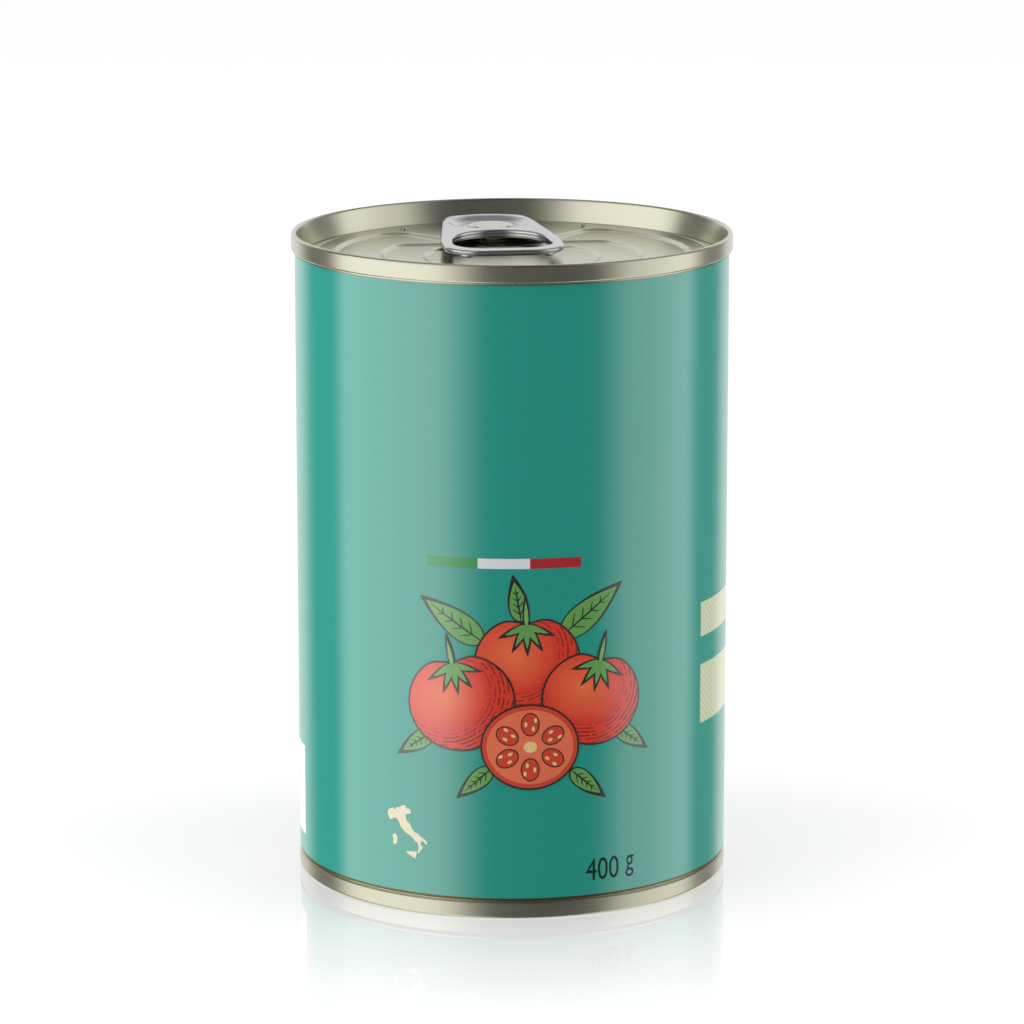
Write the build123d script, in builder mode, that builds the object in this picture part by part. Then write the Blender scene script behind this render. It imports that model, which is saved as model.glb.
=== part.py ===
"""A 400 g food tin: three-piece steel body, two seamed ends, paper sleeve label and a
ring-pull riveted to the easy-open top end. All sizes are in millimetres, +Z is up and
the tin stands on Z = 0 with its axis on the Z axis. The front of the label faces -Y."""

import os

from build123d import *

# Body cylinder. The neck is the short narrow length above the bottom seam.
tin_height = 110.0
body_radius = 36.5
rim_wall = 0.6
neck_in = 0.55
neck_length = 0.75
# Clearance between an end and the body wall it is pressed into.
press_gap = 0.05

# Double seams. The top one stands proud of the body, the bottom one hardly does.
top_seam_height = 3.0
top_seam_overhang = 0.8
top_seam_crest_inset = 0.5
bottom_seam_height = 2.8
bottom_seam_overhang = 0.2
plug_depth = 2.4

# Top end: sloped chuck wall, narrow groove at its foot, then the flat panel.
chuck_top_inset = 0.15
chuck_foot_inset = 1.2
chuck_foot_depth = 3.8
groove_width = 0.9
groove_depth = 0.7
panel_drop = 3.6

# Pressed fields of the panel, each one step lower than the one around it.
lid_turn = 7.3
field_draft = 40.0
outer_field_inset = 3.9
outer_field_step = 0.45
lobe_fillet = 4.5
inner_field_share = 0.655
inner_field_step = 0.4
finger_well_share = 0.448
finger_well_step = 0.3
well_back_inset = 3.0
field_fillet = 3.5
back_edge_share = 0.6
bead_width = 1.2
bead_height = 0.3
bead_arc = 62.0
score_inset = 0.9
score_width = 0.3
score_depth = 0.12

# Bottom end: chuck wall, groove and two round expansion beads, seen from below.
foot_ring_radius_in = 35.3
bottom_panel_rise = 3.4
bottom_groove_rise = 4.0
bead_ring_step = 0.5

# Paper label, a sleeve with a glued lap at the back.
paper = 0.2
label_bottom_gap = 0.05
label_top_gap = 0.4
lap_degrees = 12.0

# Ring-pull, measured along its own middle line from the ring end to the nose.
tab_tilt = 1.47
tab_side_offset = -1.4
tab_length = 35.4
tab_thickness = 1.05
tab_edge_roll = 0.42
ring_half_width = 10.25
ring_widest_radius = 10.25
ring_widest_y = 11.0
ring_corner_radius = 6.2
nose_half_width = 7.2
nose_corner_radius = 3.6
nose_inset = 5.87
ring_lift = 0.2
hole_half_width = 8.4
hole_corner_radius = 5.4
hole_back_radius = 8.1
ring_bar_width = 2.6
hole_length = 16.9
recess_depth = 0.55
recess_half_width = 5.95
recess_back_radius = 5.2
recess_back_wall = 1.4
recess_draft = 35.0
island_radius = 3.9
island_from_nose = 10.8
island_drop = 0.2
underside_lift = 0.25
underside_half_width = 7.6
rivet_shank_radius = 1.8
rivet_head_radius = 3.2
rivet_head_height = 0.25
rivet_gap = 0.03
boss_radius = 4.2

# Levels and radii that follow from the sizes above.
top_seam_base = tin_height - top_seam_height
plug_base = top_seam_base - plug_depth
panel_z = tin_height - panel_drop
groove_floor_z = panel_z - groove_depth
chuck_foot_radius = body_radius - chuck_foot_inset
panel_radius = chuck_foot_radius - groove_width
outer_field_radius = panel_radius - outer_field_inset
inner_field_radius = panel_radius * inner_field_share
finger_well_radius = panel_radius * finger_well_share
neck_top_z = bottom_seam_height + neck_length
bottom_plug_top = bottom_seam_height + plug_depth
bottom_rim_radius = body_radius - neck_in
bottom_pocket_radius = bottom_rim_radius - rim_wall
bottom_plug_radius = bottom_pocket_radius - press_gap
top_pocket_radius = body_radius - rim_wall
top_plug_radius = top_pocket_radius - press_gap
label_bottom_z = neck_top_z + label_bottom_gap
label_top_z = top_seam_base - label_top_gap

# The ring-pull's own plane: its underside, origin at the ring end, +Y to the nose.
nose_radius = panel_radius - nose_inset
ring_end = Vector(tab_side_offset, nose_radius - tab_length, 0).rotate(Axis.Z, lid_turn)
tab_plane = Plane(
    Location((ring_end.X, ring_end.Y, panel_z + ring_lift), (tab_tilt, 0, lid_turn))
)
lid_plane = Plane.XY.rotated((0, 0, lid_turn))


# Body: a solid core, since the shut tin is full, with the neck and both end pockets.
with BuildPart() as can_body:
    with BuildSketch(Plane.XZ):
        with BuildLine():
            Polyline(
                (0, bottom_plug_top),
                (bottom_pocket_radius, bottom_plug_top),
                (bottom_pocket_radius, bottom_seam_height),
                (bottom_rim_radius, bottom_seam_height),
                (bottom_rim_radius, bottom_seam_height + 0.15),
                (body_radius, neck_top_z),
                (body_radius, top_seam_base),
                (top_pocket_radius, top_seam_base),
                (top_pocket_radius, plug_base),
                (0, plug_base),
                close=True,
            )
        make_face()
    revolve(axis=Axis.Z)

# Label: one turn of paper and the second layer where its ends are glued.
with BuildPart() as label:
    with BuildSketch(Plane.XY.offset(label_bottom_z)):
        Circle(body_radius + paper)
        Circle(body_radius, mode=Mode.SUBTRACT)
    extrude(amount=label_top_z - label_bottom_z)
    with BuildSketch(Plane.XY.offset(label_bottom_z)):
        with BuildLine():
            lap_start = 90 - lap_degrees / 2
            inner = CenterArc((0, 0), body_radius + paper, lap_start, lap_degrees)
            outer = CenterArc((0, 0), body_radius + 2 * paper, lap_start, lap_degrees)
            Line(inner @ 0, outer @ 0)
            Line(inner @ 1, outer @ 1)
        make_face()
    extrude(amount=label_top_z - label_bottom_z)

# Top end: seam, chuck wall, groove and panel as one turned piece.
seam_radius = body_radius + top_seam_overhang
crest_radius = seam_radius - top_seam_crest_inset
bead_line = CenterArc((0, 0), outer_field_radius - 0.2, 90 - bead_arc / 2, bead_arc)
with BuildPart() as lid:
    with BuildSketch(Plane.XZ):
        with BuildLine():
            Polyline(
                (0, panel_z),
                (0, plug_base),
                (top_plug_radius, plug_base),
                (top_plug_radius, top_seam_base),
                (seam_radius - 0.15, top_seam_base),
                (seam_radius, top_seam_base + 0.4),
                (seam_radius, tin_height - 0.7),
            )
            ThreePointArc(
                (seam_radius, tin_height - 0.7),
                (seam_radius - 0.13, tin_height - 0.25),
                (crest_radius, tin_height),
            )
            ThreePointArc(
                (crest_radius, tin_height),
                (crest_radius - 0.3, tin_height - 0.1),
                (body_radius - chuck_top_inset, tin_height - 0.4),
            )
            Line(
                (body_radius - chuck_top_inset, tin_height - 0.4),
                (chuck_foot_radius, tin_height - chuck_foot_depth),
            )
            groove_side = 0.2 * groove_width
            Polyline(
                (chuck_foot_radius, tin_height - chuck_foot_depth),
                (chuck_foot_radius - groove_side, groove_floor_z),
                (panel_radius + groove_side, groove_floor_z),
                (panel_radius, panel_z),
                (0, panel_z),
            )
        make_face()
    revolve(axis=Axis.Z)

    # Score line that the panel tears along, just inside the groove.
    with BuildSketch(Plane.XY.offset(panel_z)):
        Circle(panel_radius - score_inset)
        Circle(panel_radius - score_inset - score_width, mode=Mode.SUBTRACT)
    extrude(amount=-score_depth, mode=Mode.SUBTRACT)

    # Outer field: a disc less the wedge of land the ring-pull is riveted to.
    with BuildSketch(lid_plane.offset(panel_z)) as outer_outline:
        Circle(outer_field_radius)
        wedge_tip = 0.5 * outer_field_radius
        wedge_end = 1.02 * outer_field_radius
        with BuildSketch(mode=Mode.SUBTRACT):
            with BuildLine():
                Polyline(
                    (-0.28 * outer_field_radius, wedge_tip),
                    (0.28 * outer_field_radius, wedge_tip),
                    (0.72 * outer_field_radius, wedge_end),
                    (-0.72 * outer_field_radius, wedge_end),
                    close=True,
                )
            make_face()
        fillet(outer_outline.vertices().group_by(Axis.Y)[-1], lobe_fillet)
    extrude(amount=-outer_field_step, taper=field_draft, mode=Mode.SUBTRACT)

    # Inner field and the finger well in it, both with a straight back edge.
    field_z = panel_z - outer_field_step
    back_y = back_edge_share * inner_field_radius
    for radius, step in (
        (inner_field_radius, inner_field_step),
        (finger_well_radius, finger_well_step),
    ):
        with BuildSketch(lid_plane.offset(field_z)) as field_outline:
            Circle(radius)
            with Locations((0, back_y)):
                Rectangle(
                    3 * radius,
                    3 * radius,
                    align=(Align.CENTER, Align.MIN),
                    mode=Mode.SUBTRACT,
                )
            fillet(field_outline.vertices(), field_fillet)
        extrude(amount=-step, taper=field_draft, mode=Mode.SUBTRACT)
        field_z -= step
        back_y -= well_back_inset

    # Raised bead on the land behind the ring-pull's nose.
    with BuildSketch(lid_plane.offset(panel_z)):
        SlotArc(bead_line, bead_width)
    extrude(amount=bead_height, taper=30)

    # Rivet drawn up from the panel: boss under the ring-pull, shank and head.
    rivet_y = tab_length - island_from_nose
    with BuildSketch(tab_plane.offset(-rivet_gap)):
        with Locations((0, rivet_y)):
            Circle(boss_radius)
    extrude(amount=-1.2)
    shank_height = tab_thickness - island_drop + rivet_gap
    with BuildSketch(tab_plane.offset(-rivet_gap)):
        with Locations((0, rivet_y)):
            Circle(rivet_shank_radius)
    extrude(amount=shank_height + rivet_gap)
    with BuildSketch(tab_plane.offset(shank_height)):
        with Locations((0, rivet_y)):
            Circle(rivet_head_radius)
    extrude(amount=rivet_head_height)

# Bottom end: foot ring, chuck wall, groove and panel with two raised beads.
with BuildPart() as bottom_end:
    with BuildSketch(Plane.XZ):
        with BuildLine():
            Polyline(
                (0, bottom_plug_top),
                (bottom_plug_radius, bottom_plug_top),
                (bottom_plug_radius, bottom_seam_height),
                (body_radius + bottom_seam_overhang - 0.15, bottom_seam_height),
                (body_radius + bottom_seam_overhang, bottom_seam_height - 0.4),
                (body_radius + bottom_seam_overhang, 0.7),
                (body_radius, 0.15),
                (body_radius - 0.25, 0),
                (bottom_plug_radius + 0.2, 0),
                (bottom_plug_radius - 0.1, 0.3),
                (bottom_plug_radius - 0.7, bottom_groove_rise),
                (bottom_plug_radius - 1.2, bottom_groove_rise),
                (bottom_plug_radius - 1.5, bottom_panel_rise),
                (0, bottom_panel_rise),
                close=True,
            )
        make_face()
    revolve(axis=Axis.Z)
    for share in (0.86, 0.66):
        with BuildSketch(Plane.XY.offset(bottom_panel_rise)):
            Circle(share * bottom_plug_radius)
            Circle((share - 0.09) * bottom_plug_radius, mode=Mode.SUBTRACT)
        extrude(amount=-bead_ring_step, taper=25)

# Ring-pull: tapered ring with rolled edges, finger hole and the riveted nose.
with BuildPart() as ring_pull:
    with BuildSketch(tab_plane):
        corner_x = ring_half_width - ring_corner_radius
        with Locations((-corner_x, ring_corner_radius), (corner_x, ring_corner_radius)):
            Circle(ring_corner_radius)
        with Locations((0, ring_widest_y)):
            Circle(ring_widest_radius)
        nose_x = nose_half_width - nose_corner_radius
        nose_y = tab_length - nose_corner_radius
        with Locations((-nose_x, nose_y), (nose_x, nose_y)):
            Circle(nose_corner_radius)
        make_hull()
    extrude(amount=tab_thickness)
    with BuildSketch(tab_plane):
        hole_x = hole_half_width - hole_corner_radius
        hole_front = ring_bar_width + hole_corner_radius
        hole_back = ring_bar_width + hole_length - hole_back_radius
        with Locations((-hole_x, hole_front), (hole_x, hole_front)):
            Circle(hole_corner_radius)
        with Locations((0, hole_back)):
            Circle(hole_back_radius)
        make_hull()
    extrude(amount=tab_thickness, mode=Mode.SUBTRACT)
    fillet(ring_pull.faces().filter_by(tab_plane).edges(), tab_edge_roll)

    # Recess behind the rivet, with the island the rivet holds down left in it.
    with BuildSketch(tab_plane.offset(tab_thickness)):
        with Locations((0, rivet_y)):
            Circle(recess_half_width)
        recess_back_y = tab_length - recess_back_wall - recess_back_radius
        with Locations((0, recess_back_y)):
            Circle(recess_back_radius)
        make_hull()
        with Locations((0, rivet_y)):
            Circle(island_radius, mode=Mode.SUBTRACT)
            Rectangle(
                2 * island_radius,
                recess_half_width,
                align=(Align.CENTER, Align.MAX),
                mode=Mode.SUBTRACT,
            )
    extrude(amount=-recess_depth, taper=recess_draft, mode=Mode.SUBTRACT)
    with BuildSketch(tab_plane.offset(tab_thickness)):
        with Locations((0, rivet_y)):
            Circle(island_radius)
    extrude(amount=-island_drop, mode=Mode.SUBTRACT)
    with BuildSketch(tab_plane.offset(tab_thickness)):
        with Locations((0, rivet_y)):
            Circle(rivet_shank_radius + rivet_gap)
    extrude(amount=-tab_thickness, mode=Mode.SUBTRACT)

    # The middle of the ring end stands a little higher than its two corners.
    with BuildSketch(tab_plane):
        Rectangle(2 * underside_half_width, 2 * ring_bar_width + 1)
    extrude(amount=underside_lift, mode=Mode.SUBTRACT)

os.makedirs("parts", exist_ok=True)
can_body.part.label = "can_body"
label.part.label = "label"
lid.part.label = "lid"
bottom_end.part.label = "bottom_end"
ring_pull.part.label = "ring_pull"
export_step(can_body.part, "parts/can_body.step")
export_step(label.part, "parts/label.step")
export_step(lid.part, "parts/lid.step")
export_step(bottom_end.part, "parts/bottom_end.step")
export_step(ring_pull.part, "parts/ring_pull.step")
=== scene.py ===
# %% [markdown]
# # A tin of tomatoes, modelled and lit
# This notebook dresses the CAD model of a 400 g food tin: steel ends and body, a
# ring-pull, and a printed paper label. Everything is in metres, +Z is up and the
# front of the label faces -Y. The CAD nodes give the sizes that the pieces follow.

from math import atan2, cos, pi, radians, sin, sqrt, tan

import bpy
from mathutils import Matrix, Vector


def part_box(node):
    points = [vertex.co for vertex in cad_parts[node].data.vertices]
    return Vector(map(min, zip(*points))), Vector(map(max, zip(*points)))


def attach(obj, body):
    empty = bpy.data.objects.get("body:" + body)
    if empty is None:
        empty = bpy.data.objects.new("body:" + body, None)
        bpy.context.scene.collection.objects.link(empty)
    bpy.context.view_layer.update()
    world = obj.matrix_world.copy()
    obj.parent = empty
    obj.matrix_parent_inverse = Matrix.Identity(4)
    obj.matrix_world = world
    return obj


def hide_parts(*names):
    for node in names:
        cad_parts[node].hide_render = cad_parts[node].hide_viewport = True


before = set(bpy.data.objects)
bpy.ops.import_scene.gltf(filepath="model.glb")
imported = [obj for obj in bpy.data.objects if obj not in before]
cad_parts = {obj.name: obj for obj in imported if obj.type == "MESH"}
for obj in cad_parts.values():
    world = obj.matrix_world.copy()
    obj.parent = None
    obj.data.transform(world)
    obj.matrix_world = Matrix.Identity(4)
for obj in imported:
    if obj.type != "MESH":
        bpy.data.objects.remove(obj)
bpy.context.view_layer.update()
MM = 0.001
label_low, label_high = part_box("label")
LABEL_RADIUS = label_high.x
print("label radius", LABEL_RADIUS, "from", label_low.z, "to", label_high.z)

# %% [markdown]
# ## Colours and noise
# Colours are written the way a paint program shows them, 0 to 255, and turned into the
# linear values that shaders expect. Fine noise on Object coordinates keeps every finish
# from looking computed, and it stays put on the piece from any side.


# %% Colour and node helpers
def linear(red, green, blue):
    """Linear RGBA of a colour given as 0 to 255 screen values."""
    out = []
    for level in (red, green, blue):
        share = level / 255
        out.append(share / 12.92 if share <= 0.04045 else ((share + 0.055) / 1.055) ** 2.4)
    return (*out, 1.0)


def new_material(name):
    """A node material, its node tree and its Principled shader."""
    material = bpy.data.materials.new(name)
    material.use_nodes = True
    tree = material.node_tree
    return material, tree, tree.nodes["Principled BSDF"]


def noise(tree, scale, detail=2.0, stretch=(1, 1, 1)):
    """A noise texture on Object coordinates, squeezed along the axes given."""
    where = tree.nodes.new("ShaderNodeTexCoord")
    mapping = tree.nodes.new("ShaderNodeMapping")
    mapping.inputs["Scale"].default_value = stretch
    texture = tree.nodes.new("ShaderNodeTexNoise")
    texture.inputs["Scale"].default_value = scale
    texture.inputs["Detail"].default_value = detail
    tree.links.new(where.outputs["Object"], mapping.inputs["Vector"])
    tree.links.new(mapping.outputs["Vector"], texture.inputs["Vector"])
    return texture.outputs["Fac"]


def span(tree, source, low, high, start=0.0, end=1.0):
    """A socket's values from start to end, moved to run from low to high."""
    node = tree.nodes.new("ShaderNodeMapRange")
    node.inputs["From Min"].default_value = start
    node.inputs["From Max"].default_value = end
    node.inputs["To Min"].default_value = low
    node.inputs["To Max"].default_value = high
    tree.links.new(source, node.inputs["Value"])
    return node.outputs["Result"]


def blend_colours(tree, factor, first, second):
    """A colour that goes from first to second with the factor socket."""
    mix = tree.nodes.new("ShaderNodeMix")
    mix.data_type = "RGBA"
    for socket, colour in (("A", first), ("B", second)):
        if isinstance(colour, tuple):
            mix.inputs[socket].default_value = colour
        else:
            tree.links.new(colour, mix.inputs[socket])
    tree.links.new(factor, mix.inputs["Factor"])
    return mix.outputs["Result"]


def combine(tree, operation, first, second):
    """A Math node on a socket and a socket or number."""
    node = tree.nodes.new("ShaderNodeMath")
    node.operation = operation
    tree.links.new(first, node.inputs[0])
    if isinstance(second, (int, float)):
        node.inputs[1].default_value = second
    else:
        tree.links.new(second, node.inputs[1])
    return node.outputs[0]


def add_bump(tree, shader, height, distance):
    """Feed a height socket to the shader as a bump of that distance in metres."""
    bump = tree.nodes.new("ShaderNodeBump")
    bump.inputs["Distance"].default_value = distance
    tree.links.new(height, bump.inputs["Height"])
    tree.links.new(bump.outputs["Normal"], shader.inputs["Normal"])


# %% [markdown]
# ## Steel finishes
# Tinplate under a clear gold lacquer is satin, with fine grain from the rolling mill.
# The grain is noise squeezed across the grain's direction, and it changes only the
# roughness and, by a hair, the tone. The ring-pull is left uncoated, so it is bluer.


# %% Steel
def steel(name, light, dark, roughness, fineness, squeeze):
    """Satin sheet steel, a little mottled, with fine rolled grain."""
    material, tree, shader = new_material(name)
    shader.inputs["Metallic"].default_value = 1.0
    grain = noise(tree, fineness, 3.0, squeeze)
    tone = blend_colours(tree, grain, dark, light)
    tree.links.new(tone, shader.inputs["Base Color"])
    rough = span(tree, grain, roughness * 0.85, roughness * 1.2)
    tree.links.new(rough, shader.inputs["Roughness"])
    add_bump(tree, shader, grain, 0.0000004)
    return material


steel_side = steel("lacquered_steel", linear(200, 197, 177), linear(189, 186, 164), 0.27, 150.0, (1, 1, 12))
steel_top = steel("lid_steel", linear(206, 203, 184), linear(197, 194, 173), 0.23, 500.0, (1, 9, 1))
steel_ring = steel("ring_steel", linear(204, 204, 206), linear(192, 192, 195), 0.21, 600.0, (3, 1, 1))
print("steels made")

# %% [markdown]
# ## Printed paper
# The label is coated paper: a coloured ink layer under a clear glossy varnish. The
# varnish is the shader's coat, so it alone makes the bright bands down the sides, and
# the ink below it is matt. Each ink gets a faint fibre from fine noise.


# %% Inks
VARNISH_ROUGHNESS = 0.16
VARNISH_IOR = 2.15


def varnish(tree, shader):
    """Give a shader the matt ink and the glossy varnish of the label."""
    shader.inputs["Roughness"].default_value = 0.6
    shader.inputs["Specular IOR Level"].default_value = 0.0
    shader.inputs["Coat Weight"].default_value = 1.0
    shader.inputs["Coat Roughness"].default_value = VARNISH_ROUGHNESS
    shader.inputs["Coat IOR"].default_value = VARNISH_IOR
    add_bump(tree, shader, noise(tree, 60.0, 1.0), 0.000004)


def ink(name, red, green, blue, gloss=1.0, spread=0.05):
    """A flat ink of one colour on coated paper, with the share of varnish given."""
    material, tree, shader = new_material(name)
    colour = linear(red, green, blue)
    deeper = (*(level * (1 - spread) for level in colour[:3]), 1.0)
    lighter = (*(min(1.0, level * (1 + spread)) for level in colour[:3]), 1.0)
    tone = blend_colours(tree, noise(tree, 1400.0, 3.0), deeper, lighter)
    tree.links.new(tone, shader.inputs["Base Color"])
    varnish(tree, shader)
    shader.inputs["Coat Weight"].default_value = gloss
    return material


teal = ink("label_paper", 4, 150, 133)
cream = ink("print_cream", 224, 214, 176)
flag_green = ink("print_green", 16, 142, 62)
flag_white = ink("print_white", 226, 230, 229)
flag_red = ink("print_red", 172, 20, 34)
black = ink("print_black", 3, 34, 27, 0.3)
line_ink = ink("print_line", 22, 24, 14)
leaf_green = ink("print_leaf", 96, 160, 78)
stalk_green = ink("print_stalk", 116, 174, 92)
flesh = ink("print_flesh", 232, 112, 74)
chamber = ink("print_chamber", 206, 62, 34)
seed = ink("print_seed", 236, 204, 132)
print("inks made")

# %% [markdown]
# ## Selecting, cutting and finishing
# An operator acts on all that is selected, so every step first makes one piece the only
# selected, active object. A steel piece is finished the same way each time: doubles
# merged, faces turned outwards, smooth shading up to real corners.


# %% Modelling helpers
def select_only(piece):
    """Make piece the one selected, active object, in object mode."""
    if bpy.context.object and bpy.context.object.mode != "OBJECT":
        bpy.ops.object.mode_set(mode="OBJECT")
    bpy.ops.object.select_all(action="DESELECT")
    piece.select_set(True)
    bpy.context.view_layer.objects.active = piece


def edit_all(piece):
    """Open piece in edit mode with all of it selected."""
    select_only(piece)
    bpy.ops.object.mode_set(mode="EDIT")
    bpy.ops.mesh.select_all(action="SELECT")


def settle(piece):
    """Put the object's place, turn and size into its mesh."""
    select_only(piece)
    bpy.ops.object.transform_apply(location=True, rotation=True, scale=True)


def cut(piece, cutter):
    """Take the cutter's shape out of piece and throw the cutter away."""
    select_only(piece)
    change = piece.modifiers.new("cut", "BOOLEAN")
    change.operation = "DIFFERENCE"
    change.solver = "EXACT"
    change.object = cutter
    bpy.ops.object.modifier_apply(modifier="cut")
    bpy.data.objects.remove(cutter)


def join(piece, *others):
    """Join other objects into piece, which keeps its name."""
    select_only(piece)
    for other in others:
        other.select_set(True)
    bpy.ops.object.join()
    return piece


def finish_steel(piece, name, material, slot, corner, *nodes):
    """Clean, smooth and colour a steel piece, and let it stand for CAD nodes."""
    settle(piece)
    edit_all(piece)
    bpy.ops.mesh.remove_doubles(threshold=0.0005 * MM)
    bpy.ops.mesh.normals_make_consistent(inside=False)
    bpy.ops.object.mode_set(mode="OBJECT")
    bpy.ops.object.shade_smooth_by_angle(angle=radians(corner))
    even = piece.modifiers.new("even", "WEIGHTED_NORMAL")
    even.keep_sharp = True
    bpy.ops.object.modifier_apply(modifier="even")
    piece.name = name
    piece.data.materials.clear()
    piece.data.materials.append(material)
    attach(piece, "root")
    if nodes:
        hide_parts(*nodes)
    print(name, len(piece.data.polygons), "faces")


# %% [markdown]
# ## Turned parts
# A tin's body and ends are round, so each is one profile spun about the axis. The
# profile is drawn by hand's way: a single point, extruded from corner to corner. Bends
# are arcs, worked out from their centre and radius.


# %% Profiles
ARC_STEP = radians(9)
TURN_STEPS = 240


def arc(x, y, radius, start, end, tallness=1.0):
    """Points on an arc from the angle start to end, both in degrees."""
    count = max(2, round(abs(radians(end - start)) / ARC_STEP))
    angles = [radians(start + (end - start) * i / count) for i in range(count + 1)]
    return [(x + radius * cos(a), y + tallness * radius * sin(a)) for a in angles]


def draw_profile(points):
    """A line through (radius, height) points, in millimetres, drawn by extruding."""
    bpy.ops.object.select_all(action="DESELECT")
    bpy.ops.mesh.primitive_plane_add(size=MM)
    bpy.ops.object.mode_set(mode="EDIT")
    bpy.ops.mesh.merge(type="CENTER")
    bpy.ops.transform.translate(value=(points[0][0] * MM, 0, points[0][1] * MM))
    for (radius, height), (next_radius, next_height) in zip(points, points[1:]):
        step = ((next_radius - radius) * MM, 0, (next_height - height) * MM)
        bpy.ops.mesh.extrude_vertices_move(TRANSFORM_OT_translate={"value": step})
    bpy.ops.object.mode_set(mode="OBJECT")
    return bpy.context.object


def turned(points, steps=TURN_STEPS, angle=2 * pi):
    """Spin a profile about the tin's axis."""
    piece = draw_profile(points)
    edit_all(piece)
    bpy.ops.mesh.spin(steps=steps, angle=angle, center=(0, 0, 0), axis=(0, 0, 1))
    bpy.ops.mesh.select_all(action="SELECT")
    bpy.ops.mesh.remove_doubles(threshold=0.0005 * MM)
    bpy.ops.object.mode_set(mode="OBJECT")
    return piece


lid_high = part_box("lid")[1]
TOP = lid_high.z / MM
SEAM_RADIUS = lid_high.x / MM
BODY_RADIUS = LABEL_RADIUS / MM - 0.2
SEAM_BASE = TOP - 3.0
LID_BASE = SEAM_BASE - 2.4
PANEL_Z = TOP - 3.6
NECK_TOP = label_low.z / MM - 0.05
BOTTOM_TOP = NECK_TOP - 0.75
print("top seam", SEAM_RADIUS, "panel at", PANEL_Z, "bottom seam up to", BOTTOM_TOP)

# %% [markdown]
# ## Body and bottom end
# Little of the body shows: the neck above the bottom seam. Under the tin, the end has
# its narrow foot ring, a leaning wall, a groove and two round beads that let it flex.

# %% Body
body_profile = [(0, BOTTOM_TOP + 2.4), (BODY_RADIUS - 1.15, BOTTOM_TOP + 2.4)]
body_profile += [(BODY_RADIUS - 1.15, BOTTOM_TOP), (BODY_RADIUS - 0.55, BOTTOM_TOP)]
body_profile += [(BODY_RADIUS - 0.55, BOTTOM_TOP + 0.15), (BODY_RADIUS, NECK_TOP)]
body_profile += [(BODY_RADIUS, SEAM_BASE), (BODY_RADIUS - 0.6, SEAM_BASE)]
body_profile += [(BODY_RADIUS - 0.6, LID_BASE), (0, LID_BASE)]
body = turned(body_profile)
finish_steel(body, "steel_body", steel_side, "lacquered_steel", 30, "can_body")

# %% Bottom end
UNDERSIDE = 3.4
FOOT_RADIUS = BODY_RADIUS + 0.2
PLUG_RADIUS = BODY_RADIUS - 1.2
bottom_profile = [(0, UNDERSIDE)]
for share in (0.66, 0.86):
    inner, outer = (share - 0.09) * PLUG_RADIUS, share * PLUG_RADIUS
    bottom_profile += [(inner, UNDERSIDE), (inner + 0.3, UNDERSIDE - 0.12)]
    bottom_profile += [(inner + 0.6, UNDERSIDE - 0.42), (inner + 0.9, UNDERSIDE - 0.5)]
    bottom_profile += [(outer - 0.9, UNDERSIDE - 0.5), (outer - 0.6, UNDERSIDE - 0.42)]
    bottom_profile += [(outer - 0.3, UNDERSIDE - 0.12), (outer, UNDERSIDE)]
bottom_profile += [(PLUG_RADIUS - 1.6, UNDERSIDE), (PLUG_RADIUS - 1.35, UNDERSIDE + 0.25)]
bottom_profile += arc(PLUG_RADIUS - 0.95, UNDERSIDE + 0.3, 0.3, 150, 10)
bottom_profile += arc(PLUG_RADIUS + 0.3, 0.4, 0.4, 180, 270)
bottom_profile += arc(FOOT_RADIUS - 0.5, 0.5, 0.5, -90, 0)
bottom_profile += arc(FOOT_RADIUS - 0.35, BOTTOM_TOP - 0.35, 0.35, 0, 90)
bottom_profile += [(PLUG_RADIUS, BOTTOM_TOP), (PLUG_RADIUS, BOTTOM_TOP + 2.4)]
bottom_profile += [(0, BOTTOM_TOP + 2.4)]
bottom = turned(bottom_profile)
finish_steel(bottom, "steel_bottom", steel_side, "lacquered_steel", 30, "bottom_end")

# %% [markdown]
# ## Top seam, chuck wall and groove
# The seam is five layers of sheet folded together, which leaves a rounded crest. Inside
# it a leaning wall drops to a narrow groove that stiffens the lid, and the score line
# that the lid tears along runs round just inside that.

# %% Top rim
CREST = 0.48
GROOVE = 0.45
groove_middle = BODY_RADIUS - 1.65
panel_edge = groove_middle - GROOVE
score_out = panel_edge - 0.9
SCORE_IN = score_out - 0.3
rim_profile = [(BODY_RADIUS - 0.65, SEAM_BASE)]
rim_profile += arc(SEAM_RADIUS - 0.35, SEAM_BASE + 0.35, 0.35, -90, 0)
rim_profile += arc(SEAM_RADIUS - CREST, TOP - 0.65, CREST, 0, 165, 0.65 / CREST)
rim_profile += arc(groove_middle, PANEL_Z - 0.25, GROOVE, 0, -180)
rim_profile += arc(panel_edge - 0.25, PANEL_Z - 0.25, 0.25, 15, 90)
rim_profile += [(score_out, PANEL_Z), (score_out - 0.15, PANEL_Z - 0.12)]
rim_profile += [(SCORE_IN, PANEL_Z - 0.12), (SCORE_IN, LID_BASE)]
rim_profile += [(BODY_RADIUS - 0.65, LID_BASE), (BODY_RADIUS - 0.65, SEAM_BASE)]
rim = turned(rim_profile)

# %% [markdown]
# ## Pressed fields of the panel
# A press pushes the panel down in three steps: a large field with two lobes, a smaller
# one with a straight back, and a finger well. A cutter for each is its outline as a
# block, whose underside is inset in small steps that follow an S curve, so the
# shoulders come out soft, as they do in real sheet.


# %% Field outlines
def field_outline(radius, back, corner):
    """A circle cut straight across at y = back, its two corners rounded."""
    reach = sqrt((radius - corner) ** 2 - (back - corner) ** 2)
    lean = atan2(back - corner, reach) * 180 / pi
    right = arc(reach, back - corner, corner, lean, 90)
    left = [(-x, y) for x, y in reversed(right)]
    return right + left + arc(0, 0, radius, 180 - lean, 360 + lean)[1:-1]


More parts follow.
